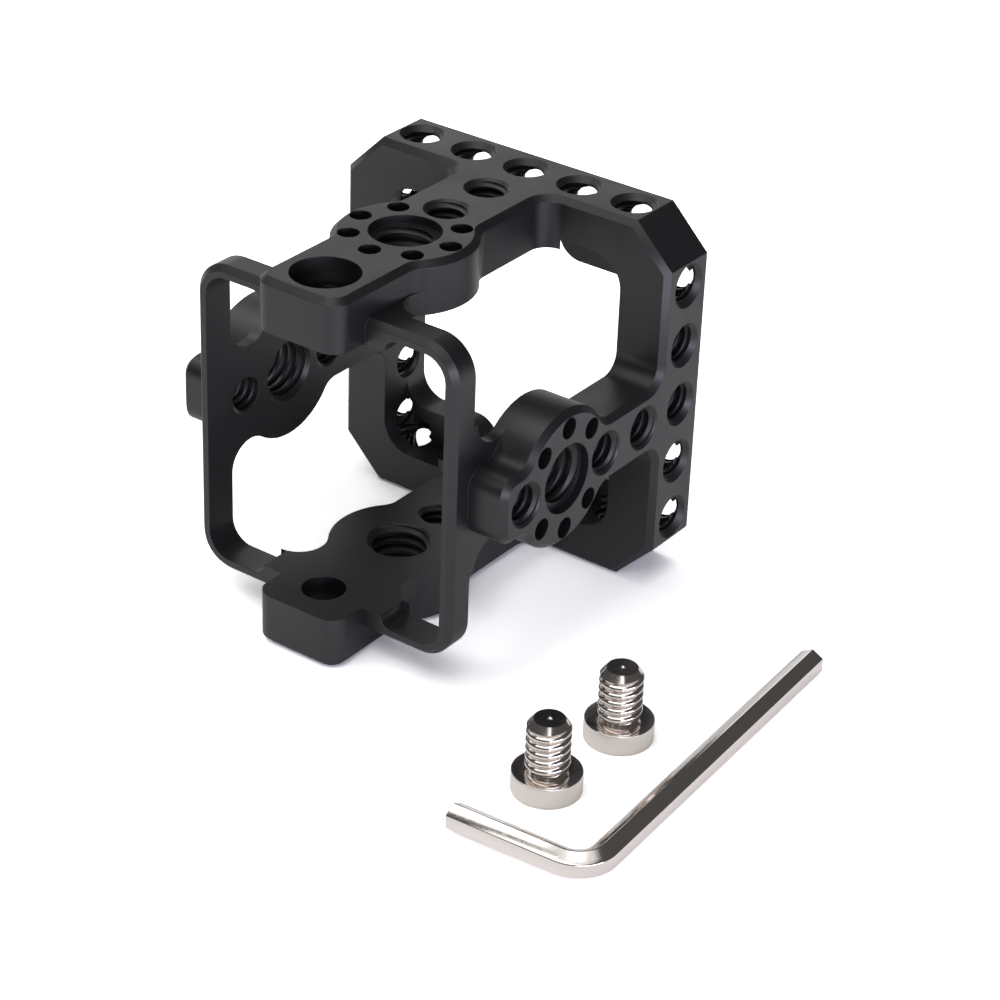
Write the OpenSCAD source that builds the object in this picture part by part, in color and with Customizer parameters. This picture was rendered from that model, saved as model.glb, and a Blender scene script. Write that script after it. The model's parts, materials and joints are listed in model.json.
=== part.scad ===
// Camera cage milled from one billet, shown as its rear ring, four arms and thin front rails,
// with two low-head cap screws and a hex key standing beside it. Front tabs face -Y, Z is up.

/* [Rear Ring] */
// Width of the rear ring across its side faces
ring_w = 58.1; // [54:0.1:72]
// Height of the rear ring from its bottom face to its top face
ring_h = 58; // [54:0.1:72]
// Depth of the rear ring from front face to back face
ring_depth = 9.95; // [9.2:0.05:12]
// Leg of the 45 degree cut across each outer corner
ring_corner_cut = 6.3; // [4:0.1:7]
// Bevel along every outer front edge of the billet
edge_bevel = 0.9; // [0.4:0.05:1.2]
// Thickness of the ring above and below its opening
ring_cap_wall = 6.5; // [6:0.1:7.8]
// Corner radius of the ring's opening
opening_corner_r = 4.8; // [3:0.1:6]
// Depth of the four corner pads at the back of the opening
pad_depth = 4.4; // [3:0.1:5]
// Half height of the opening between the corner pads
pad_half_h = 17; // [16:0.1:18]
// Half width of the notch between two corner pads
pad_notch_half = 6.3; // [5.5:0.1:8]
// Radius on the corner pads beside the notch
pad_end_r = 4; // [2:0.1:4]
// Radius between a corner pad and the side wall
pad_root_r = 4.2; // [3:0.1:5]

/* [Arms] */
// Thickness of each arm from inner face to outer face
arm_t = 8; // [7.6:0.1:9]
// Distance from the front of the tabs to the back of the ring
cage_depth = 57.15; // [56:0.05:66]
// Half width of the top and bottom arms
cap_arm_half = 7.4; // [6.6:0.1:8]
// Half width of the side arms
side_arm_half = 5.15; // [4.6:0.05:6]
// Radius of the round boss on each arm
boss_r = 10.5; // [10.2:0.1:11.5]
// Radius of the fillets beside each boss and at the ring
arm_fillet_r = 3; // [2:0.1:3.5]
// Radius of the necks where the arms meet the back of the front frame
neck_r = 4.2; // [3.6:0.1:4.6]
// Radius on the vertical corners of each arm's front end
arm_end_r = 2.8; // [1.5:0.1:3.2]
// Distance from a side arm's end hole to its end face
side_end_reach = 5.17; // [4.6:0.01:6]
// Half width of the tongue under each tab inside the front frame
tongue_half = 10.8; // [9:0.1:11.5]

/* [Front Frame] */
// Distance from the front of the tabs to the front frame
frame_front = 6.05; // [5:0.05:6.5]
// Depth of the front frame
frame_depth = 5.2; // [4.4:0.1:5.4]
// Wall thickness of the front frame
frame_wall = 1.85; // [1.5:0.05:2.2]
// Thickness of tab outside the front frame at the top and bottom
tab_over_frame = 4.4; // [3.8:0.1:5]
// Outer corner radius of the front frame
frame_corner_r = 5.5; // [4:0.1:7]
// Bevel on the front frame's outer edges
frame_bevel = 0.88; // [0.3:0.02:1.1]

/* [Holes] */
// Pitch of the threaded holes
hole_pitch = 9.525; // [9:0.005:10]
// Distance from the ring's back face to its hole rows
row_back = 4.43; // [4.2:0.01:4.8]
// Wall radius of the small threaded holes
small_r = 2.55; // [2:0.05:2.9]
// Mouth radius of the small threaded holes
small_mouth_r = 3.45; // [3:0.05:3.6]
// Depth of the small threaded holes in the ring's outer faces
ring_hole_depth = 9.6; // [8.6:0.1:10.4]
// Wall radius of the threaded holes in the ring's back
rear_r = 2.4; // [2:0.05:2.5]
// Depth of the threaded holes in the ring's back
rear_depth = 8; // [7.6:0.1:8.2]
// Wall radius of the large threaded hole in each boss
large_r = 4; // [3.4:0.05:4.2]
// Radius of the plain entry of the large threaded hole
large_entry_r = 5.25; // [4.6:0.05:5.4]
// Depth of the plain entry of the large threaded hole
large_entry_depth = 1.4; // [0.6:0.1:2]
// Mouth radius of the large hole on the inner face
large_back_r = 4.9; // [4.4:0.05:5.2]
// Radius of the circle of locating pin holes
pin_circle_r = 7.9375; // [7.7:0.0005:8.1]
// Radius of each locating pin hole
pin_r = 1.6; // [1.2:0.05:1.7]
// Depth of each locating pin hole
pin_depth = 3; // [2:0.1:4]
// Distance from the large hole to the screw hole in the tab
tab_hole_reach = 17.46; // [17:0.01:18]
// Radius of the tab's through hole
tab_hole_r = 3.25; // [3.2:0.05:3.6]
// Radius of the recess for the screw's head
head_recess_r = 5; // [4.95:0.05:5.3]
// Depth of the recess for the screw's head
head_recess_depth = 4.8; // [3.3:0.1:5.2]

/* [Screws] */
// Radius of the screw's thread
screw_thread_r = 3.05; // [2.6:0.05:3.15]
// Radius of the screw's head
screw_head_r = 4.9; // [4.5:0.05:4.93]
// Height of the screw's head
screw_head_h = 3.2; // [2.4:0.1:3.25]
// Length of the screw under its head
screw_length = 8.2; // [7:0.1:9]
// Radius of the flat at the screw's tip
screw_tip_r = 1.9; // [1.4:0.1:2.3]
// Length of the cone at the screw's tip
screw_tip_len = 1.3; // [0.8:0.1:1.8]
// Radius of the relief beside the screw's head
screw_neck_r = 2.6; // [2.2:0.05:2.6]
// Length of the plain relief beside the screw's head
screw_neck_len = 1.1; // [0.6:0.1:1.5]
// Depth of the hex socket in the screw's head
socket_depth = 2; // [1.4:0.1:2.2]
// Small edge break on the screw's head
screw_edge = 0.15; // [0.05:0.01:0.3]
// Sideways place of the first screw
screw_1_x = 47; // [44:0.1:52]
// Depthwise place of the first screw behind the tab fronts
screw_1_y = -3.78; // [-6:0.01:-2]
// Sideways place of the second screw
screw_2_x = 47.54; // [44:0.01:52]
// Depthwise place of the second screw behind the tab fronts
screw_2_y = 12.5; // [10:0.1:16]

/* [Hex Key] */
// Distance across the flats of the hex key
key_flats = 3.6; // [3:0.05:4]
// Length of the key's short arm from the corner of its middle lines
key_short = 20.8; // [18:0.1:24]
// Length of the key's long arm from the corner of its middle lines
key_long = 60.8; // [50:0.1:66]
// Radius of the key's bend on its middle line
key_bend_r = 4.2; // [3:0.1:5]
// Sideways place of the corner of the key's middle lines
key_x = 63.3; // [61:0.1:68]
// Depthwise place of the corner of the key's middle lines behind the tab fronts
key_y = -17.62; // [-20:0.01:-15]
// Turn of the key on the table in degrees
key_turn = 3.15; // [0:0.05:6]
// Clearance between the key and the socket's flats
key_clearance = 0.08; // [0.02:0.01:0.2]

/* [Hidden] */
$fn = 96;
// overrun of every cutting body past the face it opens
over = 0.6;
right_angle = 90;
full_turn = 360;
hex_sides = 6;
pin_step = full_turn / 8;
half_w = ring_w / 2;
half_h = ring_h / 2;
arm_inner_x = half_w - arm_t;
ring_front = cage_depth - ring_depth;
row_y = cage_depth - row_back;
boss_y = row_y - 3 * hole_pitch;
tab_hole_y = boss_y - tab_hole_reach;
end_hole_y = boss_y - hole_pitch;
side_end_y = end_hole_y - side_end_reach;
frame_back = frame_front + frame_depth;
frame_half_w = arm_inner_x + frame_wall;
frame_half_h = half_h - tab_over_frame;
opening_half_h = half_h - ring_cap_wall;
cap_tongue_t = frame_half_h - frame_wall - (half_h - arm_t);
cap_layer_t = cap_tongue_t + frame_wall;
mouth_depth = small_mouth_r - small_r;
back_mouth_depth = large_back_r - large_r;
neck_y = frame_back + neck_r;
neck_u = sqrt(pow(boss_r + neck_r, 2) - pow(boss_y - neck_y, 2));
key_corner_r = key_flats / sqrt(3);
socket_r = key_corner_r + key_clearance * 2 / sqrt(3);

// moves the part so that the bottom boss stands on the origin
module placed() {
    translate([0, -boss_y, 0])
        children();
}

// puts a shape drawn with its inner face on z = 0 onto one side: 0 top, 1 right, 2 bottom, 3 left
module on_side(side) {
    reach = side % 2 == 0 ? half_h - arm_t : half_w - arm_t;
    translate([0, 0, half_h])
        rotate([0, side * right_angle, 0])
            translate([0, 0, reach])
                children();
}

// extrudes an outline of x and z points along y
module along_y(start, length) {
    translate([0, start + length, 0])
        rotate([right_angle, 0, 0])
            linear_extrude(height = length)
                children();
}

// extrudes an outline of y and z points along x, centred on x = 0
module along_x(length) {
    translate([-length / 2, 0, 0])
        rotate([right_angle, 0, right_angle])
            linear_extrude(height = length)
                children();
}

// upright disc whose top edge carries the bevel
module bevelled_disc(r) {
    cylinder(r = r, h = arm_t - edge_bevel);
    translate([0, 0, arm_t - edge_bevel])
        cylinder(r1 = r, r2 = r - edge_bevel, h = edge_bevel);
}

// cutter for a concave corner that keeps the bevel running round it
module fillet_cut(r) {
    translate([0, 0, -over])
        cylinder(r = r, h = arm_t + 2 * over);
    translate([0, 0, arm_t - edge_bevel])
        cylinder(r1 = r, r2 = r + edge_bevel + over, h = edge_bevel + over);
}

// straight stretch of arm with both long top edges bevelled
module arm_bar(half, start, finish) {
    along_y(start, finish - start)
        polygon([[-half, 0], [half, 0], [half, arm_t - edge_bevel], [half - edge_bevel, arm_t],
            [edge_bevel - half, arm_t], [-half, arm_t - edge_bevel]]);
}

// front end of an arm with rounded corners and a bevelled top edge
module arm_end(half, start) {
    for (s = [-1, 1])
        translate([s * (half - arm_end_r), start + arm_end_r, 0])
            bevelled_disc(arm_end_r);
    along_x(2 * (half - arm_end_r))
        polygon([[start, 0], [start + arm_end_r, 0], [start + arm_end_r, arm_t],
            [start + edge_bevel, arm_t], [start, arm_t - edge_bevel]]);
}

// fillets between the boss and the straight stretch in front of or behind it
module boss_fillets(half, way) {
    c = half + arm_fillet_r;
    d = sqrt(pow(boss_r + arm_fillet_r, 2) - c * c);
    t = boss_r / (boss_r + arm_fillet_r);
    for (s = [-1, 1])
        difference() {
            linear_extrude(height = arm_t)
                polygon([[0, boss_y], [0, boss_y + way * d], [s * half, boss_y + way * d],
                    [s * c * t, boss_y + way * d * t]]);
            translate([s * c, boss_y + way * d, 0])
                fillet_cut(arm_fillet_r);
        }
}

// fillets where an arm runs into the ring
module root_fillets(half) {
    for (s = [-1, 1])
        difference() {
            linear_extrude(height = arm_t)
                polygon([[0, ring_front], [0, ring_front - arm_fillet_r],
                    [s * half, ring_front - arm_fillet_r], [s * (half + arm_fillet_r), ring_front]]);
            root_cut(half, s);
        }
}

module root_cut(half, s) {
    translate([s * (half + arm_fillet_r), ring_front - arm_fillet_r, 0])
        fillet_cut(arm_fillet_r);
}

// inner layer that spreads from the boss to the back of the front frame
module arm_neck(layer) {
    t = boss_r / (boss_r + neck_r);
    for (s = [-1, 1])
        difference() {
            linear_extrude(height = layer)
                polygon([[0, boss_y], [0, frame_back], [s * neck_u, frame_back],
                    [s * neck_u * t, boss_y + (neck_y - boss_y) * t]]);
            translate([s * neck_u, neck_y, -over])
                cylinder(r = neck_r, h = layer + 2 * over);
        }
}

// threaded hole with a mouth on the outer face
module small_hole(y) {
    translate([0, y, -over])
        cylinder(r = small_r, h = arm_t + 2 * over);
    translate([0, y, arm_t - mouth_depth])
        cylinder(r1 = small_r, r2 = small_mouth_r + over, h = mouth_depth + over);
}

// large threaded hole with its plain entry, and the locating pin holes round it
module boss_holes(first, last) {
    translate([0, boss_y, 0]) {
        translate([0, 0, -over])
            cylinder(r = large_r, h = arm_t + 2 * over);
        translate([0, 0, arm_t - large_entry_depth])
            cylinder(r = large_entry_r, h = large_entry_depth + over);
        translate([0, 0, -over])
            cylinder(r1 = large_back_r + over, r2 = large_r, h = back_mouth_depth + over);
        for (i = [first:last])
            rotate([0, 0, right_angle + i * pin_step])
                translate([pin_circle_r, 0, arm_t - pin_depth])
                    cylinder(r = pin_r, h = pin_depth + over);
    }
}

// one solid arm before its holes are cut
module arm_solid(half, start, layer) {
    arm_end(half, start);
    arm_bar(half, start + arm_end_r, ring_front);
    translate([0, boss_y, 0])
        bevelled_disc(boss_r);
    boss_fillets(half, -1);
    boss_fillets(half, 1);
    root_fillets(half);
    arm_neck(layer);
}

module cap_arm() {
    difference() {
        union() {
            arm_solid(cap_arm_half, 0, cap_layer_t);
            translate([-tongue_half, frame_front, 0])
                cube([2 * tongue_half, frame_depth, cap_tongue_t]);
            translate([0, frame_front, cap_layer_t])
                frame_run(tongue_half, cap_arm_half);
        }
        small_hole(row_y - hole_pitch);
        small_hole(row_y - 2 * hole_pitch);
        boss_holes(1, 7);
        translate([0, tab_hole_y, -over])
            cylinder(r = tab_hole_r, h = arm_t + 2 * over);
        translate([0, tab_hole_y, arm_t - head_recess_depth])
            cylinder(r = head_recess_r, h = head_recess_depth + over);
    }
}

module side_arm() {
    difference() {
        arm_solid(side_arm_half, side_end_y, frame_wall);
        translate([-boss_r, side_end_y - over, -over])
            cube([2 * boss_r, frame_back - side_end_y + over, frame_wall + over]);
        small_hole(row_y - hole_pitch);
        small_hole(row_y - 2 * hole_pitch);
        small_hole(end_hole_y);
        boss_holes(1, 3);
        boss_holes(5, 7);
    }
}

// ring outline seen from the side, with a bevel on both front edges
module bevelled_slab(half) {
    polygon([[ring_front, -half + edge_bevel], [ring_front + edge_bevel, -half], [cage_depth, -half],
        [cage_depth, half], [ring_front + edge_bevel, half], [ring_front, half - edge_bevel]]);
}

module ring_body() {
    diagonal = (half_w + half_h - ring_corner_cut) / sqrt(2);
    reach = 2 * (ring_w + ring_h);
    translate([0, 0, half_h])
        intersection() {
            along_x(reach)
                bevelled_slab(half_h);
            rotate([0, right_angle, 0])
                along_x(reach)
                    bevelled_slab(half_w);
            rotate([0, right_angle / 2, 0])
                along_x(reach)
                    bevelled_slab(diagonal);
            rotate([0, -right_angle / 2, 0])
                along_x(reach)
                    bevelled_slab(diagonal);
        }
}

// full-height edge under each arm's root, where the front bevel stops
module root_block(half) {
    translate([-half - arm_fillet_r, ring_front, arm_t - 2 * edge_bevel])
        cube([2 * (half + arm_fillet_r), 2 * edge_bevel, 2 * edge_bevel]);
}

// outline of a rounded rectangle given by its half sizes
module rounded_outline(w, h, r) {
    square([2 * w, 2 * (h - r)], center = true);
    square([2 * (w - r), 2 * h], center = true);
    for (sx = [-1, 1], sz = [-1, 1])
        translate([sx * (w - r), sz * (h - r)])
            circle(r = r);
}

// outline of the opening between the corner pads
module pad_outline() {
    w = half_w - arm_t;
    notch_h = half_h - arm_t;
    rounded_outline(w, pad_half_h, pad_root_r);
    difference() {
        square([2 * (pad_notch_half + pad_end_r), 2 * (pad_half_h + pad_end_r)], center = true);
        for (sx = [-1, 1], sz = [-1, 1])
            translate([sx * (pad_notch_half + pad_end_r), sz * (pad_half_h + pad_end_r)])
                circle(r = pad_end_r);
    }
    square([2 * pad_notch_half, 2 * notch_h], center = true);
}

// opening of the ring, wide in front and narrowed by the corner pads at the back
module ring_opening() {
    translate([0, 0, half_h]) {
        along_y(ring_front - over, ring_depth - pad_depth + over)
            rounded_outline(half_w - arm_t, opening_half_h, opening_corner_r);
        along_y(ring_front, ring_depth + over)
            pad_outline();
    }
}

// row of threaded holes in one outer face of the ring
module ring_row() {
    for (i = [-2:2])
        translate([i * hole_pitch, row_y, 0]) {
            translate([0, 0, arm_t - ring_hole_depth])
                cylinder(r = small_r, h = ring_hole_depth + over);
            translate([0, 0, arm_t - mouth_depth])
                cylinder(r1 = small_r, r2 = small_mouth_r + over, h = mouth_depth + over);
        }
}

// threaded holes in the ring's back, midway in the thickness of the arms
module rear_row(places) {
    for (i = places)
        translate([i * hole_pitch, cage_depth, arm_t / 2])
            rotate([right_angle, 0, 0]) {
                translate([0, 0, -over])
                    cylinder(r = rear_r, h = rear_depth + over);
                translate([0, 0, -over])
                    cylinder(r1 = small_mouth_r + over, r2 = rear_r, h = small_mouth_r - rear_r + over);
            }
}

module rear_ring() {
    color([0.13, 0.13, 0.14])
        placed() difference() {
            union() {
                ring_body();
                for (side = [0, 2])
                    on_side(side)
                        root_block(cap_arm_half);
                for (side = [1, 3])
                    on_side(side)
                        root_block(side_arm_half);
            }
            ring_opening();
            for (side = [0, 2])
                on_side(side) {
                    root_cut(cap_arm_half, -1);
                    root_cut(cap_arm_half, 1);
                    ring_row();
                    rear_row([-2:2]);
                }
            for (side = [1, 3])
                on_side(side) {
                    root_cut(side_arm_half, -1);
                    root_cut(side_arm_half, 1);
                    ring_row();
                    rear_row(side == 1 ? [-2, 1, 2] : [-2, -1, 2]);
                }
        }
}

module top_arm() {
    color([0.15, 0.15, 0.16])
        placed() on_side(0)
            cap_arm();
}

module bottom_arm() {
    color([0.15, 0.15, 0.16])
        placed() on_side(2)
            cap_arm();
}

module right_arm() {
    color([0.16, 0.16, 0.17])
        placed() on_side(1)
            side_arm();
}

module left_arm() {
    color([0.16, 0.16, 0.17])
        placed() on_side(3)
            side_arm();
}

// cross-section of the front frame, its outer face at x = way * outer, y along the depth
module frame_section(outer, way) {
    inner = way * (outer - frame_wall);
    edge = way * (outer - frame_bevel);
    polygon([[inner, 0], [edge, 0], [way * outer, frame_bevel], [way * outer, frame_depth - frame_bevel],
        [edge, frame_depth], [inner, frame_depth]]);
}

// bar along x with its outer face on z = 0, left square where an arm covers it
module frame_run(half, covered) {
    along_x(2 * half)
        polygon([[0, -frame_wall], [0, -frame_bevel], [frame_bevel, 0],
            [frame_depth - frame_bevel, 0], [frame_depth, -frame_bevel], [frame_depth, -frame_wall]]);
    along_x(2 * covered)
        polygon([[0, -frame_wall], [0, 0], [frame_depth, 0], [frame_depth, -frame_wall]]);
}

// one half of the loop, from the top tab round a side arm to the bottom tab
module frame_rail(side) {
    flat_w = frame_half_w - frame_corner_r;
    flat_h = frame_half_h - frame_corner_r;
    translate([0, frame_front, half_h])
        rotate([0, side * right_angle, 0]) {
            translate([0, 0, frame_half_w])
                frame_run(flat_h, side_arm_half);
            for (way = [-1, 1]) {
                translate([way * flat_h, 0, flat_w])
                    rotate([0, way > 0 ? 0 : -right_angle, 0])
                        rotate([-right_angle, 0, 0])
                            mirror([0, 1, 0])
                                rotate_extrude(angle = right_angle)
                                    frame_section(frame_corner_r, 1);
                translate([0, 0, tongue_half])
                    linear_extrude(height = flat_w - tongue_half)
                        frame_section(frame_half_h, way);
            }
        }
}

module right_frame_rail() {
    color([0.14, 0.14, 0.15])
        placed() frame_rail(1);
}

module left_frame_rail() {
    color([0.14, 0.14, 0.15])
        placed() frame_rail(3);
}

module cap_screw() {
    tip_z = screw_head_h + screw_length;
    difference() {
        union() {
            cylinder(r1 = screw_head_r - screw_edge, r2 = screw_head_r, h = screw_edge);
            translate([0, 0, screw_edge])
                cylinder(r = screw_head_r, h = screw_head_h - 2 * screw_edge);
            translate([0, 0, screw_head_h - screw_edge])
                cylinder(r1 = screw_head_r, r2 = screw_head_r - screw_edge, h = screw_edge);
            translate([0, 0, screw_head_h])
                cylinder(r = screw_neck_r, h = screw_neck_len);
            translate([0, 0, screw_head_h + screw_neck_len])
                cylinder(r = screw_thread_r, h = screw_length - screw_neck_len - screw_tip_len);
            translate([0, 0, tip_z - screw_tip_len])
                cylinder(r1 = screw_thread_r, r2 = screw_tip_r, h = screw_tip_len);
        }
        translate([0, 0, -over])
            cylinder(r = socket_r, h = socket_depth + over, $fn = hex_sides);
    }
}

module mounting_screw_1() {
    color([0.75, 0.75, 0.77])
        placed() translate([screw_1_x, screw_1_y, 0])
            cap_screw();
}

module mounting_screw_2() {
    color([0.75, 0.75, 0.77])
        placed() translate([screw_2_x, screw_2_y, 0])
            cap_screw();
}

// hex outline standing on one corner
module hex_section() {
    circle(r = key_corner_r, $fn = hex_sides);
}

module hex_key() {
    color([0.7, 0.7, 0.72])
        placed() translate([key_x, key_y, key_corner_r])
            rotate([0, 0, key_turn]) {
                translate([-key_bend_r, 0, 0])
                    rotate([0, -right_angle, 0])
                        linear_extrude(height = key_short - key_bend_r)
                            hex_section();
                translate([0, key_bend_r, 0])
                    rotate([-right_angle, 0, 0])
                        linear_extrude(height = key_long - key_bend_r)
                            rotate([0, 0, right_angle])
                                hex_section();
                translate([-key_bend_r, key_bend_r, 0])
                    rotate([0, 0, -right_angle])
                        rotate_extrude(angle = right_angle)
                            translate([key_bend_r, 0])
                                rotate([0, 0, right_angle])
                                    hex_section();
            }
}

rear_ring();
top_arm();
bottom_arm();
left_arm();
right_arm();
left_frame_rail();
right_frame_rail();
mounting_screw_1();
mounting_screw_2();
hex_key();
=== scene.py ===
"""Camera cage milled from one black billet, with its two cap screws and its hex key.

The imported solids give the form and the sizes. Here the cage gets the last edges of its front
frame and its cut threads, the screws their rolled threads, the key its rounded edges, and every
surface its finish. Lengths in the classes of the pieces are millimetres, and the helpers turn
them into metres.
"""

from __future__ import annotations

import json
import logging
import math
from contextlib import contextmanager
from dataclasses import dataclass, field
from enum import Enum
from typing import Iterator

import bpy
from mathutils import Matrix, Vector

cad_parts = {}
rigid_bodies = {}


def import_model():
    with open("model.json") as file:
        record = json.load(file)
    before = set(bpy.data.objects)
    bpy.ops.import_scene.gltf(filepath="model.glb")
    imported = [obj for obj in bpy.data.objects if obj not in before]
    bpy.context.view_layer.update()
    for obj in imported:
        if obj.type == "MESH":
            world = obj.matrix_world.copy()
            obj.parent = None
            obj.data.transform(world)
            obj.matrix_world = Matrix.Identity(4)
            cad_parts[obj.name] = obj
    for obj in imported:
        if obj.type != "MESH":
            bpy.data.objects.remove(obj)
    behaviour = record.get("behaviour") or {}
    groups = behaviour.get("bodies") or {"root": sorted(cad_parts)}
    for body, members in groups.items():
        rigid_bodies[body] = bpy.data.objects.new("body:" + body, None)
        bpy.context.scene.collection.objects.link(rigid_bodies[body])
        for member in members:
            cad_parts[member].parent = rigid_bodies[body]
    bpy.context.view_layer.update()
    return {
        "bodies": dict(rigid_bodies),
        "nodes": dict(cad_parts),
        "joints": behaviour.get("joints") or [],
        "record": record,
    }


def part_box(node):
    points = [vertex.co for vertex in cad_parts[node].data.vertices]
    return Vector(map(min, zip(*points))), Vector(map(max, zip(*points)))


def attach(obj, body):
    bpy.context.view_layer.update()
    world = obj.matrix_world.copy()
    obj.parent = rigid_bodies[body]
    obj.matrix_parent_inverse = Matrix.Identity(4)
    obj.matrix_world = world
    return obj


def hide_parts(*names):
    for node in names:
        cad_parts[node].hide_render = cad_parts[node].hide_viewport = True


MM = 0.001
FULL_TURN = 2 * math.pi
WELD_MM = 0.0005  # points nearer than this are one point
log = logging.getLogger("camera_cage")

Point = tuple[float, float, float]


class Solve(Enum):
    """What one closed shape does to another."""

    JOIN = "UNION"
    CUT = "DIFFERENCE"
    KEEP = "INTERSECT"


class Side(Enum):
    """An outer face of the cage, by the direction that it looks in."""

    TOP = (0, 0, 1)
    RIGHT = (1, 0, 0)
    BOTTOM = (0, 0, -1)
    LEFT = (-1, 0, 0)
    BACK = (0, 1, 0)


def metres(point: Point) -> Vector:
    """Turn a point in millimetres into metres.

    Args:
        point: The x, y and z in millimetres.

    Returns:
        The same point in metres.
    """
    return Vector(point) * MM


def linear(colour: str) -> tuple[float, float, float, float]:
    """Turn an sRGB hex colour into the linear one that a shader takes.

    Args:
        colour: The colour as "#rrggbb".

    Returns:
        Linear red, green and blue, and an alpha of 1.
    """
    shares = [int(colour[i : i + 2], 16) / 255 for i in (1, 3, 5)]
    parts = [s / 12.92 if s <= 0.04045 else ((s + 0.055) / 1.055) ** 2.4 for s in shares]
    return (*parts, 1.0)


def add_node(tree: bpy.types.NodeTree, kind: str, settings: dict | None = None,
             links: dict | None = None) -> bpy.types.Node:
    """Add one node to a tree.

    Args:
        tree: The tree that the node goes into.
        kind: The node's type name.
        settings: Values by the name of a property, or of an input socket.
        links: Output sockets by the name or the number of the input that they feed.

    Returns:
        The new node.
    """
    node = tree.nodes.new(kind)
    for name, value in (settings or {}).items():
        if isinstance(name, str) and hasattr(node, name):
            setattr(node, name, value)
        else:
            node.inputs[name].default_value = value
    for name, source in (links or {}).items():
        tree.links.new(source, node.inputs[name])
    return node


def empty_tree(owner: bpy.types.Material | bpy.types.World) -> bpy.types.NodeTree:
    """Turn on the nodes of a material or a world, and clear them.

    Args:
        owner: The new material or world.

    Returns:
        Its empty node tree.
    """
    owner.use_nodes = True
    owner.node_tree.nodes.clear()
    return owner.node_tree


def clear_selection() -> None:
    """Deselect every object, so that a new primitive is alone."""
    for other in bpy.context.view_layer.objects:
        other.select_set(False)


def only(piece: bpy.types.Object) -> None:
    """Select one object, alone, and make it the active one.

    Args:
        piece: The object to select.
    """
    clear_selection()
    piece.select_set(True)
    bpy.context.view_layer.objects.active = piece


@contextmanager
def editing(piece: bpy.types.Object) -> Iterator[None]:
    """Edit one object's mesh with everything in it selected.

    Args:
        piece: The object whose mesh is edited.

    Yields:
        Nothing, while edit mode is on.
    """
    only(piece)
    bpy.ops.object.mode_set(mode="EDIT")
    bpy.ops.mesh.select_all(action="SELECT")
    yield
    bpy.ops.object.mode_set(mode="OBJECT")


def settle(piece: bpy.types.Object) -> None:
    """Put an object's place and turn into its mesh, so that it sits at the origin.

    Args:
        piece: The object to settle.
    """
    only(piece)
    bpy.ops.object.transform_apply(location=True, rotation=True, scale=True)


def mend(piece: bpy.types.Object, gap: float = WELD_MM) -> None:
    """Close seams and turn every face outwards.

    Args:
        piece: The object to mend.
        gap: Points nearer than this are one point, in millimetres.
    """
    with editing(piece):
        bpy.ops.mesh.remove_doubles(threshold=gap * MM)
        bpy.ops.mesh.normals_make_consistent(inside=False)


def shape(piece: bpy.types.Object, kind: str, **settings: object) -> None:
    """Add a modifier to an object and apply it.

    Args:
        piece: The object to shape.
        kind: The modifier's type.
        **settings: The modifier's properties.
    """
    only(piece)
    modifier = piece.modifiers.new(kind.lower(), kind)
    for name, value in settings.items():
        setattr(modifier, name, value)
    bpy.ops.object.modifier_apply(modifier=modifier.name)


def solve(piece: bpy.types.Object, tool: bpy.types.Object, how: Solve) -> None:
    """Join, cut or keep one closed shape with another, and use up the second.

    Args:
        piece: The shape that stays.
        tool: The shape that is used up.
        how: What the second does to the first.
    """
    shape(piece, "BOOLEAN", object=tool, operation=how.value, solver="MANIFOLD")
    bpy.data.objects.remove(tool)


def merged_copy(node: bpy.types.Object, name: str) -> bpy.types.Object:
    """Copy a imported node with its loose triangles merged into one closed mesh.

    Args:
        node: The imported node's object.
        name: The name of the copy.

    Returns:
        The copy, at the origin.
    """
    copy = node.copy()
    copy.data = node.data.copy()
    copy.parent = None
    copy.name = name
    for key in list(copy.keys()):
        del copy[key]
    bpy.context.scene.collection.objects.link(copy)
    with editing(copy):
        bpy.ops.mesh.customdata_custom_splitnormals_clear()
        bpy.ops.mesh.remove_doubles(threshold=WELD_MM * MM)
    return copy


def joined(name: str, parts: list[bpy.types.Object]) -> bpy.types.Object:
    """Put several objects' meshes into one object.

    Args:
        name: The name of the result.
        parts: The objects, which are used up.

    Returns:
        The first object, with all the meshes.
    """
    only(parts[0])
    for part in parts[1:]:
        part.select_set(True)
    if len(parts) > 1:
        bpy.ops.object.join()
    parts[0].name = name
    return parts[0]


def drawn(name: str, outline: list[tuple[float, float]]) -> bpy.types.Object:
    """Draw an open outline in the plane of x and z, one point pulled out of the last.

    Args:
        name: The name of the object.
        outline: Radius and height of each point, in millimetres.

    Returns:
        The outline, at the origin.
    """
    clear_selection()
    start = metres((outline[0][0], 0, outline[0][1]))
    bpy.ops.mesh.primitive_plane_add(size=MM, location=start)
    piece = bpy.context.active_object
    piece.name = name
    with editing(piece):
        bpy.ops.mesh.merge(type="CENTER")
        for (r0, z0), (r1, z1) in zip(outline, outline[1:]):
            step = metres((r1 - r0, 0, z1 - z0))
            bpy.ops.mesh.extrude_vertices_move(TRANSFORM_OT_translate={"value": step})
    settle(piece)
    return piece


def prism(name: str, outline: list[tuple[float, float]], start: float,
          depth: float) -> bpy.types.Object:
    """Extrude an outline in the plane of x and z along y, and close it.

    Args:
        name: The name of the object.
        outline: The x and z of each corner, in millimetres.
        start: The y of the first end.
        depth: The length along y.

    Returns:
        The closed prism.
    """
    piece = drawn(name, [*outline, outline[0]])
    with editing(piece):
        bpy.ops.mesh.remove_doubles(threshold=WELD_MM * MM)
        bpy.ops.mesh.edge_face_add()
        bpy.ops.mesh.extrude_region_move(TRANSFORM_OT_translate={"value": (0, depth * MM, 0)})
    piece.location.y = start * MM
    settle(piece)
    mend(piece)
    return piece


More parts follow.
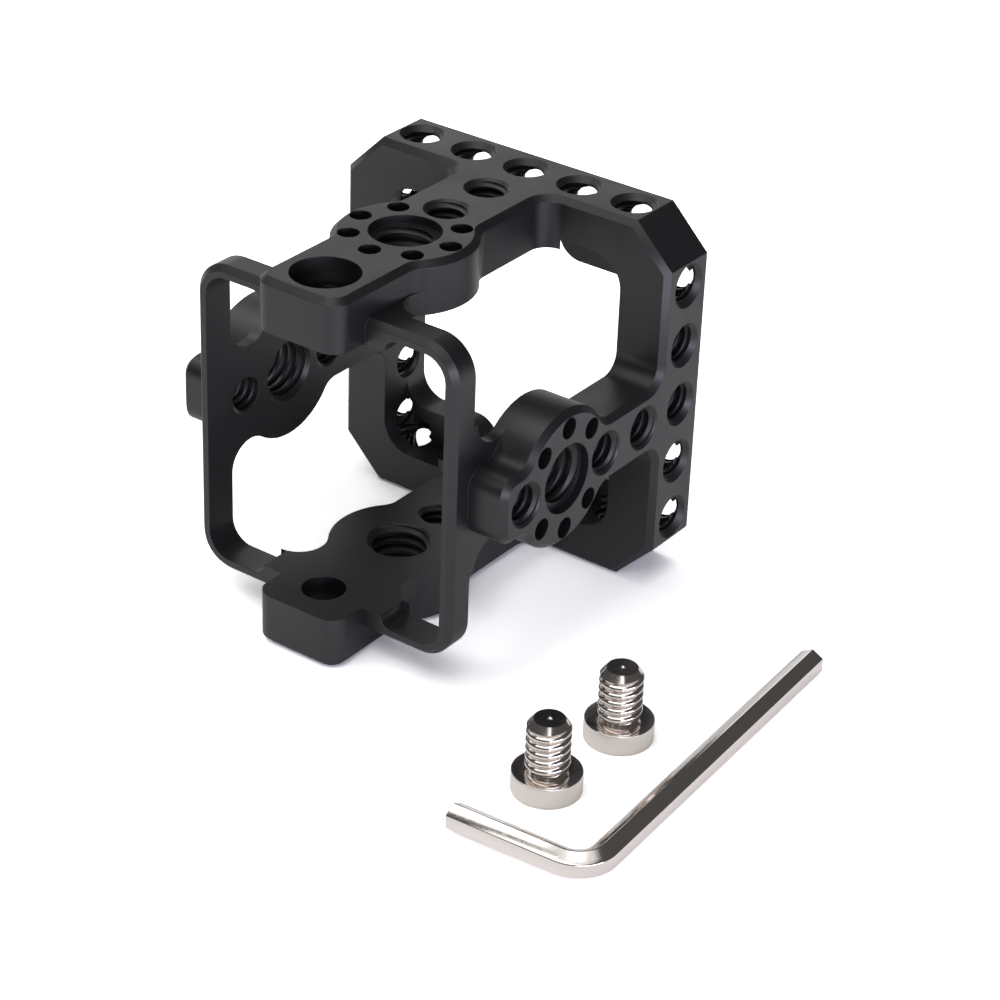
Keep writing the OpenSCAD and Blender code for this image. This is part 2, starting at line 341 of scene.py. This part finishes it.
def turned(name: str, outline: list[tuple[float, float]], steps: int) -> bpy.types.Object:
    """Turn an outline round the z axis into a closed shape.

    Args:
        name: The name of the object.
        outline: Radius and height of each point, in millimetres, first and last on the axis.
        steps: The number of faces round the axis.

    Returns:
        The turned shape.
    """
    piece = drawn(name, outline)
    with editing(piece):
        bpy.ops.mesh.spin(steps=steps, angle=FULL_TURN, center=(0, 0, 0), axis=(0, 0, 1))
    mend(piece)
    return piece


def place(piece: bpy.types.Object, at: Vector, outwards: Vector) -> None:
    """Turn a shape's z axis to a direction and move its origin to a place.

    Args:
        piece: The shape, made at the origin.
        at: Where its origin goes, in metres.
        outwards: Where its z axis points.
    """
    turn = outwards.to_track_quat("Z", "Y").to_matrix().to_4x4()
    piece.matrix_world = Matrix.Translation(at) @ turn
    settle(piece)


@dataclass(frozen=True)
class Thread:
    """A screw thread, as a profile that climbs one pitch in each turn. Lengths are millimetres."""

    pitch: float
    profile: tuple[tuple[float, float], ...]
    steps: int = 32
    weld: float = 0.0002

    def rod(self, name: str, low: float, high: float) -> bpy.types.Object:
        """Make a closed threaded rod round the z axis.

        Args:
            name: The name of the object.
            low: Where the rod starts on the axis.
            high: Where it ends.

        Returns:
            The rod.
        """
        lead = 1.37  # turns below the rod, uneven so that no point lies on a cutting plane
        spare = 3  # turns past the rod's length, which the cuts take off
        touch = 1e-7
        turns = math.ceil((high - low) / self.pitch) + spare
        outline = [(r, low + (share - lead) * self.pitch) for r, share in self.profile]
        rod = drawn(name, outline)
        shape(rod, "SCREW", axis="Z", angle=FULL_TURN, screw_offset=self.pitch * MM,
              iterations=turns, steps=self.steps, render_steps=self.steps,
              use_merge_vertices=True, merge_threshold=touch)
        for height, outer in ((low, False), (high, True)):
            with editing(rod):
                bpy.ops.mesh.bisect(plane_co=(0, 0, height * MM), plane_no=(0, 0, 1), use_fill=True,
                                    clear_inner=not outer, clear_outer=outer, threshold=touch)
        mend(rod, self.weld)
        return rod


def cut_profile(minor: float, major: float) -> tuple[tuple[float, float], ...]:
    """Give the profile that a tap cuts, with flat roots and crests and straight flanks.

    Args:
        minor: The smaller radius.
        major: The larger radius.

    Returns:
        Radius, and share of the pitch, of each point.
    """
    flank_start, crest_start, crest_end = 0.306, 0.59, 0.716
    return ((minor, 0.0), (minor, flank_start), (major, crest_start), (major, crest_end), (minor, 1.0))


def rolled_profile(root: float, crest: float, points: int = 12) -> tuple[tuple[float, float], ...]:
    """Give the profile of a rolled thread, with narrow roots and full round crests.

    Args:
        root: The smaller radius.
        crest: The larger radius.
        points: The number of steps in one pitch.

    Returns:
        Radius, and share of the pitch, of each point.
    """
    fullness = 0.8
    return tuple((root + (crest - root) * abs(math.sin(math.pi * i / points)) ** fullness, i / points)
                 for i in range(points + 1))


@dataclass(frozen=True)
class BlackAnodising:
    """Bead-blasted aluminium, dyed black by anodising.

    To the eye it is a deep neutral black with a satin sheen: the blasted grain spreads each
    reflection, faces that look at the bright surround turn dark grey, and the blast has broken
    every sharp edge just enough to draw a thin line of light along it.
    """

    name: str = "black_anodised_aluminium"
    colour: str = "#111114"
    ior: float = 1.6
    roughness: float = 0.42
    duller: float = 0.05
    glossier: float = 0.04
    cloud_mm: float = 9.0
    grain_mm: float = 0.22  # a blasted grain is near 0.05 mm, and is drawn coarser so that it shows
    grain_height_mm: float = 0.02
    grain_strength: float = 0.12
    edge_mm: float = 0.14
    edge_samples: int = 6

    def build(self) -> bpy.types.Material:
        """Make the material.

        Returns:
            The new material.
        """
        material = bpy.data.materials.new(self.name)
        tree = empty_tree(material)
        where = add_node(tree, "ShaderNodeTexCoord").outputs["Object"]
        grain = add_node(tree, "ShaderNodeTexNoise", {"Scale": 1 / (self.grain_mm * MM), "Detail": 2.0},
                         {"Vector": where})
        cloud = add_node(tree, "ShaderNodeTexNoise", {"Scale": 1 / (self.cloud_mm * MM), "Detail": 3.0},
                         {"Vector": where})
        rough = add_node(tree, "ShaderNodeMapRange",
                         {"From Min": 0.3, "From Max": 0.7, "To Min": self.roughness - self.glossier,
                          "To Max": self.roughness + self.duller}, {"Value": cloud.outputs["Fac"]})
        edges = add_node(tree, "ShaderNodeBevel",
                         {"samples": self.edge_samples, "Radius": self.edge_mm * MM})
        bump = add_node(tree, "ShaderNodeBump",
                        {"Strength": self.grain_strength, "Distance": self.grain_height_mm * MM},
                        {"Height": grain.outputs["Fac"], "Normal": edges.outputs["Normal"]})
        skin = add_node(tree, "ShaderNodeBsdfPrincipled",
                        {"Base Color": linear(self.colour), "IOR": self.ior},
                        {"Roughness": rough.outputs["Result"], "Normal": bump.outputs["Normal"]})
        add_node(tree, "ShaderNodeOutputMaterial", None, {"Surface": skin.outputs["BSDF"]})
        return material


@dataclass(frozen=True)
class NickelPlate:
    """Bright nickel plate on hardened steel.

    To the eye it is a slightly warm mirror, broken by the fine drawing marks under the plate.
    """

    name: str = "bright_nickel_plated_steel"
    colour: str = "#e8e1db"
    roughness: float = 0.13
    duller: float = 0.05
    glossier: float = 0.03
    grain_mm: float = 0.35  # the marks are under 0.1 mm wide, and are drawn coarser so that they show
    grain_height_mm: float = 0.01
    grain_strength: float = 0.08

    def build(self) -> bpy.types.Material:
        """Make the material.

        Returns:
            The new material.
        """
        material = bpy.data.materials.new(self.name)
        tree = empty_tree(material)
        where = add_node(tree, "ShaderNodeTexCoord").outputs["Object"]
        grain = add_node(tree, "ShaderNodeTexNoise", {"Scale": 1 / (self.grain_mm * MM), "Detail": 3.0},
                         {"Vector": where})
        rough = add_node(tree, "ShaderNodeMapRange",
                         {"From Min": 0.3, "From Max": 0.7, "To Min": self.roughness - self.glossier,
                          "To Max": self.roughness + self.duller}, {"Value": grain.outputs["Fac"]})
        bump = add_node(tree, "ShaderNodeBump",
                        {"Strength": self.grain_strength, "Distance": self.grain_height_mm * MM},
                        {"Height": grain.outputs["Fac"]})
        skin = add_node(tree, "ShaderNodeBsdfPrincipled",
                        {"Base Color": linear(self.colour), "Metallic": 1.0},
                        {"Roughness": rough.outputs["Result"], "Normal": bump.outputs["Normal"]})
        add_node(tree, "ShaderNodeOutputMaterial", None, {"Surface": skin.outputs["BSDF"]})
        return material


def dress(piece: bpy.types.Object, finish: bpy.types.Material, body: str,
          angle: float) -> None:
    """Give a finished piece its material, its shading and its body.

    Args:
        piece: The finished piece.
        finish: The material.
        body: The body that the piece rides on.
        angle: Edges sharper than this stay crisp, in degrees.
    """
    piece.data.materials.clear()
    piece.data.materials.append(finish)
    for face in piece.data.polygons:
        face.material_index = 0
    only(piece)
    bpy.ops.object.shade_smooth_by_angle(angle=math.radians(angle))
    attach(piece, body)
    log.info("%s: %d faces on body %s", piece.name, len(piece.data.polygons), body)


@dataclass
class Cage:
    """The milled billet: rear ring, four arms and front frame as one piece. Lengths are millimetres."""

    nodes: tuple[str, ...] = ("rear_ring", "top_arm", "bottom_arm", "left_arm", "right_arm",
                              "left_frame_rail", "right_frame_rail")
    half_w: float = 29.05
    height: float = 58.0
    pitch: float = 9.525
    row_y: float = 28.575  # the hole rows of the ring's outer faces
    back_y: float = 33.005
    wall_middle: float = 4.0  # from an outer face in to the holes of the ring's back
    arm_t: float = 8.0
    side_arm_half: float = 5.15
    frame_front: float = -18.095
    frame_depth: float = 5.2
    frame_wall: float = 1.85
    frame_bevel: float = 0.88
    frame_half_w: float = 22.9
    frame_half_h: float = 24.6
    neck_half: float = 11.85
    tongue_half: float = 10.8
    tongue_t: float = 1.75
    overrun: float = 0.5
    past_arm: float = 0.02  # how far the cut of the front bevel runs past a side arm's end
    overlap: float = 0.1  # how far a fill or a fillet reaches into the metal that it joins
    start_above: float = 0.3  # how far a tap stands out of its hole
    ring_tap: float = 9.1
    rear_tap: float = 7.6
    large_entry: float = 1.2
    crisp_angle: float = 32.0
    small: Thread = field(default_factory=lambda: Thread(1.27, cut_profile(2.6, 3.175)))
    large: Thread = field(default_factory=lambda: Thread(1.5875, cut_profile(4.06, 4.7625), 44))

    @property
    def through(self) -> float:
        """Give the far end of a tap that runs through an arm, from the arm's outer face."""
        return -self.arm_t - self.start_above

    def face_point(self, side: Side, across: float, along: float) -> Vector:
        """Find a point on an outer face of the cage.

        Args:
            side: The face.
            across: Distance from the middle of the face, upwards on a side face.
            along: The y of the point.

        Returns:
            The point in metres.
        """
        middle = self.height / 2
        points = {
            Side.TOP: (across, along, self.height),
            Side.BOTTOM: (across, along, 0),
            Side.RIGHT: (self.half_w, along, middle + across),
            Side.LEFT: (-self.half_w, along, middle + across),
        }
        return metres(points[side])

    def tap(self, thread: Thread, side: Side, at: Vector, low: float, high: float) -> bpy.types.Object:
        """Make a tap that stands in one hole.

        Args:
            thread: The thread that it cuts.
            side: The face that it goes into.
            at: The hole's centre on the face, in metres.
            low: Where the tap ends, from the face outwards.
            high: Where it starts.

        Returns:
            The tap, in place.
        """
        rod = thread.rod("tap", low, high)
        place(rod, at, Vector(side.value))
        return rod

    def edge_bar(self, side: Side, outline: list[tuple[float, float]], half: float) -> bpy.types.Object:
        """Make a bar that runs along one side of the front frame.

        Args:
            side: The side.
            outline: Distance outwards from the cage's middle, and y, of each corner.
            half: Half the length of the bar.

        Returns:
            The bar, in place.
        """
        bar = prism("bar", outline, -half, 2 * half)
        out, ahead = Vector(side.value), Vector((0, 1, 0))
        turn = Matrix((out, ahead.cross(out), ahead)).transposed().to_4x4()
        bar.matrix_world = Matrix.Translation(metres((0, 0, self.height / 2))) @ turn
        settle(bar)
        return bar

    def frame_bars(self) -> tuple[list[bpy.types.Object], list[bpy.types.Object]]:
        """Make what finishes the front frame's long edges.

        Returns:
            Bars that run the front bevel on past the side arms, to cut, and bars that fill the
            rear bevel where the arms' necks meet the frame, to join.
        """
        cuts, fills = [], []
        front, back = self.frame_front, self.frame_front + self.frame_depth
        past = self.overrun
        for side in (Side.TOP, Side.RIGHT, Side.BOTTOM, Side.LEFT):
            outer = self.frame_half_h if side in (Side.TOP, Side.BOTTOM) else self.frame_half_w
            inner = outer - self.frame_bevel
            under = back - self.overlap
            fill = [(inner, back), (inner, under), (outer, under - self.frame_bevel), (outer, back)]
            fills.append(self.edge_bar(side, fill, self.neck_half))
            if side in (Side.RIGHT, Side.LEFT):
                cut = [(inner - past, front - past), (outer + past, front - past),
                       (outer + past, front + self.frame_bevel + past)]
                cuts.append(self.edge_bar(side, cut, self.side_arm_half + self.past_arm))
        return cuts, fills

    def tongue_fillets(self) -> list[bpy.types.Object]:
        """Make the fillets where each tab's tongue runs out onto the front frame.

        Returns:
            The four fillets.
        """
        fillets = []
        r, into = self.tongue_t, self.overlap
        middle, reach = self.height / 2, self.frame_half_h - self.frame_wall
        angles = [math.radians(10 * i) for i in range(10)]
        for up in (-1, 1):
            for across in (-1, 1):
                x, z = across * self.tongue_half, middle + up * reach
                arc = [(x + across * r * (1 - math.sin(a)), z - up * r * (1 - math.cos(a)))
                       for a in angles]
                outline = [(x - across * into, z + up * into), (x + across * r, z + up * into), *arc,
                           (x - across * into, z - up * r)]
                fillets.append(prism("fillet", outline, self.frame_front, self.frame_depth))
        return fillets

    def billet(self, frame: dict) -> bpy.types.Object:
        """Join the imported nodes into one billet, with the edges of its front frame finished.

        Args:
            frame: The loaded frame.

        Returns:
            The billet.
        """
        billet = merged_copy(frame["nodes"][self.nodes[0]], "cage")
        for name in self.nodes[1:]:
            solve(billet, merged_copy(frame["nodes"][name], name + "_copy"), Solve.JOIN)
        cuts, fills = self.frame_bars()
        for fill in (*fills, *self.tongue_fillets()):
            solve(billet, fill, Solve.JOIN)
        for cut in cuts:
            solve(billet, cut, Solve.CUT)
        return billet

    def small_taps(self) -> list[list[bpy.types.Object]]:
        """Make the taps of the small holes, in groups that don't cross each other.

        Returns:
            The groups.
        """
        upright, level, rear = [], [], []
        for side in (Side.TOP, Side.BOTTOM, Side.RIGHT, Side.LEFT):
            group = upright if side in (Side.TOP, Side.BOTTOM) else level
            for i in range(-2, 3):
                at = self.face_point(side, i * self.pitch, self.row_y)
                group.append(self.tap(self.small, side, at, -self.ring_tap, self.start_above))
            rows = [1, 2] if side in (Side.TOP, Side.BOTTOM) else [1, 2, 4]
            for i in rows:
                at = self.face_point(side, 0, self.row_y - i * self.pitch)
                group.append(self.tap(self.small, side, at, self.through, self.start_above))
        middle = self.height / 2
        up, out = middle - self.wall_middle, self.half_w - self.wall_middle
        places = [(i * self.pitch, s * up) for i in range(-2, 3) for s in (-1, 1)]
        places += [(s * out, i * self.pitch) for i in (2, -1, -2) for s in (-1, 1)]
        for x, z in places:
            at = metres((x, self.back_y, middle + z))
            rear.append(self.tap(self.small, Side.BACK, at, -self.rear_tap, self.start_above))
        return [upright, level, rear]

    def large_taps(self) -> list[bpy.types.Object]:
        """Make the taps of the four large holes.

        Returns:
            The taps.
        """
        return [self.tap(self.large, side, self.face_point(side, 0, 0), self.through, -self.large_entry)
                for side in (Side.TOP, Side.BOTTOM, Side.RIGHT, Side.LEFT)]

    def build(self, frame: dict, finish: bpy.types.Material) -> bpy.types.Object:
        """Build and dress the cage.

        Args:
            frame: The loaded frame.
            finish: The billet's material.

        Returns:
            The cage.
        """
        cage = self.billet(frame)
        for group in [*self.small_taps(), self.large_taps()]:
            solve(cage, joined("taps", group), Solve.CUT)
        dress(cage, finish, "cage", self.crisp_angle)
        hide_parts(*self.nodes)
        return cage


@dataclass
class CapScrew:
    """A low-head cap screw that stands on its head. Lengths are millimetres."""

    node: str
    body: str
    head_r: float = 4.9
    head_h: float = 3.2
    head_round: float = 0.28
    length: float = 8.2
    neck_r: float = 2.6
    neck_len: float = 0.55
    thread_start: float = 0.4  # length of the cone from the neck to the full thread
    start_at_neck: float = 0.15  # how much of that cone lies within the neck's length
    clear: float = 0.02  # how far the envelope stands off the thread's crests
    core_step: float = 0.1  # how far the head's core stays inside the neck that it joins
    past_tip: float = 0.5  # how far the threaded rod runs past the tip before it is cut
    tip_r: float = 2.2
    tip_len: float = 1.2
    dimple_r: float = 0.42
    dimple: float = 0.3
    dimple_floor: float = 0.8
    socket_flats: float = 3.76
    socket_depth: float = 2.0
    crisp_angle: float = 38.0
    shank_steps: int = 64
    head_steps: int = 96
    thread: Thread = field(default_factory=lambda: Thread(1.27, rolled_profile(2.42, 3.12), 48))

    def blank(self) -> bpy.types.Object:
        """Turn the envelope that the threaded shank is cut to.

        Returns:
            The envelope.
        """
        outer = max(r for r, _ in self.thread.profile) + self.clear
        base = self.head_h - self.head_round
        start = self.head_h + self.neck_len - self.start_at_neck
        tip = self.head_h + self.length
        return turned("blank", [
            (0, base), (self.neck_r, base), (self.neck_r, start), (outer, start + self.thread_start),
            (outer, tip - self.tip_len), (self.tip_r, tip), (self.dimple_r, tip),
            (self.dimple_r * self.dimple_floor, tip - self.dimple / 2), (0, tip - self.dimple)],
            self.shank_steps)

    def head(self) -> bpy.types.Object:
        """Turn the head with rounded rims and a hex socket in its face.

        Returns:
            The head.
        """
        r, h, low_r, top_r = self.head_r, self.head_h, self.head_round, self.head_round / 2
        arc = [(math.sin(a), math.cos(a)) for a in (math.radians(15 * i) for i in range(7))]
        lower = [(r - low_r + low_r * s, low_r - low_r * c) for s, c in arc]
        upper = [(r - top_r + top_r * c, h - top_r + top_r * s) for s, c in arc]
        core, core_top = self.neck_r - self.core_step, h + self.neck_len / 2
        outline = [(0, 0), *lower, *upper, (core, h), (core, core_top), (0, core_top)]
        head = turned("head", outline, self.head_steps)
        clear_selection()
        corner = self.socket_flats / math.sqrt(3)
        depth = self.socket_depth + self.head_round
        bpy.ops.mesh.primitive_cylinder_add(vertices=6, radius=corner * MM, depth=depth * MM,
                                            location=(0, 0, (self.socket_depth - depth / 2) * MM))
        socket = bpy.context.active_object
        settle(socket)
        solve(head, socket, Solve.CUT)
        return head

    def build(self, frame: dict, finish: bpy.types.Material) -> bpy.types.Object:
        """Build and dress the screw where its node stands.

        Args:
            frame: The loaded frame, not used.
            finish: The screw's material.

        Returns:
            The screw.
        """
        past = self.head_h + self.length + self.past_tip
        screw = self.thread.rod(self.node + "_piece", self.head_h - self.head_round * 2, past)
        solve(screw, self.blank(), Solve.KEEP)
        solve(screw, self.head(), Solve.JOIN)
        low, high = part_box(self.node)
        middle = (low + high) / 2
        place(screw, Vector((middle.x, middle.y, low.z)), Vector((0, 0, 1)))
        dress(screw, finish, self.body, self.crisp_angle)
        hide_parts(self.node)
        return screw


@dataclass
class HexKey:
    """The bent hex key. Lengths are millimetres, and angles degrees."""

    node: str = "hex_key"
    body: str = "key"
    edge_round: float = 0.16
    edge_steps: int = 3
    edge_angle: float = 35.0
    flat_angle: float = 0.6
    weld: float = 0.0001
    crisp_angle: float = 34.0

    def build(self, frame: dict, finish: bpy.types.Material) -> bpy.types.Object:
        """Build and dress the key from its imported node.

        Args:
            frame: The loaded frame.
            finish: The key's material.

        Returns:
            The key.
        """
        key = merged_copy(frame["nodes"][self.node], self.node + "_piece")
        with editing(key):
            bpy.ops.mesh.dissolve_limited(angle_limit=math.radians(self.flat_angle))
        shape(key, "BEVEL", width=self.edge_round * MM, segments=self.edge_steps,
              limit_method="ANGLE", angle_limit=math.radians(self.edge_angle), harden_normals=False)
        mend(key, self.weld)
        dress(key, finish, self.body, self.crisp_angle)
        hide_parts(self.node)
        return key


@dataclass(frozen=True)
class PhotoView:
    """The camera that sees the cage as the photograph does. Its place is in metres."""

    location: Point = (0.227533, -0.296672, 0.231566)
    turn: Point = (59.9331, -1.9336, 36.3717)
    lens_mm: float = 106.4856
    sensor_mm: float = 36.0
    clip_start: float = 0.01

    def build(self) -> None:
        """Make the camera and give it to the scene."""
        data = bpy.data.cameras.new("photo_camera")
        data.sensor_width = self.sensor_mm
        data.lens = self.lens_mm
        data.clip_start = self.clip_start
        camera = bpy.data.objects.new("photo_camera", data)
        camera.location = self.location
        camera.rotation_euler = [math.radians(angle) for angle in self.turn]
        bpy.context.scene.collection.objects.link(camera)
        bpy.context.scene.camera = camera


@dataclass(frozen=True)
class Lamp:
    """A soft rectangular lamp that looks at the cage.

    Lengths are metres and angles degrees. Azimuth 0 is +X, the side of the screws, and 90 is +Y.
    """

    name: str
    azimuth: float
    elevation: float
    distance: float
    width: float
    height: float
    brightness: float
    colour: str = "#ffffff"
    aim: Point = (0.02, 0.0, 0.03)

    def build(self) -> None:
        """Make the lamp and point it at the cage."""
        data = bpy.data.lights.new(self.name, "AREA")
        data.shape = "RECTANGLE"
        data.size, data.size_y = self.width, self.height
        data.energy = math.pi * self.width * self.height * self.brightness
        data.color = linear(self.colour)[:3]
        lamp = bpy.data.objects.new(self.name, data)
        turn, rise = math.radians(self.azimuth), math.radians(self.elevation)
        way = Vector((math.cos(turn) * math.cos(rise), math.sin(turn) * math.cos(rise), math.sin(rise)))
        lamp.location = Vector(self.aim) + self.distance * way
        lamp.rotation_euler = way.to_track_quat("Z", "Y").to_euler()
        bpy.context.scene.collection.objects.link(lamp)


@dataclass
class Studio:
    """A plain white table in a dim room with a pale ceiling and soft lamps. Lengths are metres.

    The table has one grey for the light that it throws back, one for its mirror image in the
    metal, and one for the camera, to which it is overexposed as in the photograph.
    """

    table: float = 6.0
    table_lit: float = 0.88
    table_mirrored: float = 1.25
    table_seen: float = 2.5
    room: tuple[tuple[float, float], ...] = (  # height from horizon to zenith, and grey there
        (0.0, 0.07), (0.85, 0.08), (0.94, 0.95), (0.97, 1.05), (1.0, 2.0))
    lamps: tuple[Lamp, ...] = (
        Lamp("front_ceiling", 270, 57, 1.2, 1.6, 0.56, 1.5),
        Lamp("left_ceiling", 180, 55, 1.15, 0.5, 0.46, 2.0),
        Lamp("left_wall", 168, 35, 1.3, 1.0, 0.42, 0.95),
        Lamp("left_window", 140, 16, 1.3, 1.55, 0.45, 1.5),
        Lamp("right_window", -24, 8, 1.4, 1.6, 0.34, 8.0, "#ebe9ff"),
    )

    def table_finish(self) -> bpy.types.Material:
        """Make the table's material: white where it is seen or mirrored, with its shadows kept.

        Returns:
            The new material.
        """
        material = bpy.data.materials.new("white_table")
        tree = empty_tree(material)
        rays = add_node(tree, "ShaderNodeLightPath")
        mirrored = add_node(tree, "ShaderNodeMath", {"operation": "MAXIMUM"},
                            {0: rays.outputs["Is Glossy Ray"], 1: rays.outputs["Is Transmission Ray"]})
        plain = add_node(tree, "ShaderNodeBsdfDiffuse", {"Color": self.grey(self.table_lit)})
        shown = add_node(tree, "ShaderNodeBsdfDiffuse", {"Color": self.grey(self.table_mirrored)})
        seen = add_node(tree, "ShaderNodeBsdfDiffuse", {"Color": self.grey(self.table_seen)})
        inner = add_node(tree, "ShaderNodeMixShader", None,
                         {"Fac": mirrored.outputs[0], 1: plain.outputs[0], 2: shown.outputs[0]})
        outer = add_node(tree, "ShaderNodeMixShader", None,
                         {"Fac": rays.outputs["Is Camera Ray"], 1: inner.outputs[0], 2: seen.outputs[0]})
        add_node(tree, "ShaderNodeOutputMaterial", None, {"Surface": outer.outputs[0]})
        return material

    @staticmethod
    def grey(level: float) -> tuple[float, float, float, float]:
        """Give a linear grey, which may be brighter than white for a surface shown overexposed."""
        return (level, level, level, 1.0)

    def world(self) -> None:
        """Surround the scene with a dim room under a pale ceiling, and white for the camera."""
        world = bpy.data.worlds.new("studio")
        tree = empty_tree(world)
        rays = add_node(tree, "ShaderNodeLightPath")
        where = add_node(tree, "ShaderNodeTexCoord").outputs["Generated"]
        height = add_node(tree, "ShaderNodeSeparateXYZ", None, {0: where}).outputs["Z"]
        ramp = add_node(tree, "ShaderNodeValToRGB", None, {"Fac": height})
        stops = ramp.color_ramp.elements
        for i, (rise, level) in enumerate(self.room):
            stop = stops[i] if i < len(stops) else stops.new(rise)
            stop.position = rise
            stop.color = self.grey(level)
        around = add_node(tree, "ShaderNodeBackground", {"Strength": 1.0}, {"Color": ramp.outputs[0]})
        white = add_node(tree, "ShaderNodeBackground", {"Color": (1, 1, 1, 1), "Strength": 1.0})
        mix = add_node(tree, "ShaderNodeMixShader", None,
                       {"Fac": rays.outputs["Is Camera Ray"], 1: around.outputs[0], 2: white.outputs[0]})
        add_node(tree, "ShaderNodeOutputWorld", None, {"Surface": mix.outputs[0]})
        bpy.context.scene.world = world

    def build(self) -> None:
        """Make the table, the surround and the lamps."""
        clear_selection()
        bpy.ops.mesh.primitive_plane_add(size=self.table)
        table = bpy.context.active_object
        table.name = "table"
        table.data.materials.append(self.table_finish())
        self.world()
        for lamp in self.lamps:
            lamp.build()


def main() -> None:
    """Build the scene, piece by piece."""
    logging.basicConfig(level=logging.INFO, format="%(message)s")
    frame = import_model()
    PhotoView().build()
    black = BlackAnodising().build()
    nickel = NickelPlate().build()
    Cage().build(frame, black)
    CapScrew("mounting_screw_1", "screw_1").build(frame, nickel)
    CapScrew("mounting_screw_2", "screw_2").build(frame, nickel)
    HexKey().build(frame, nickel)
    Studio().build()
    bpy.context.scene.view_settings.view_transform = "Standard"


if __name__ == "__main__":
    main()
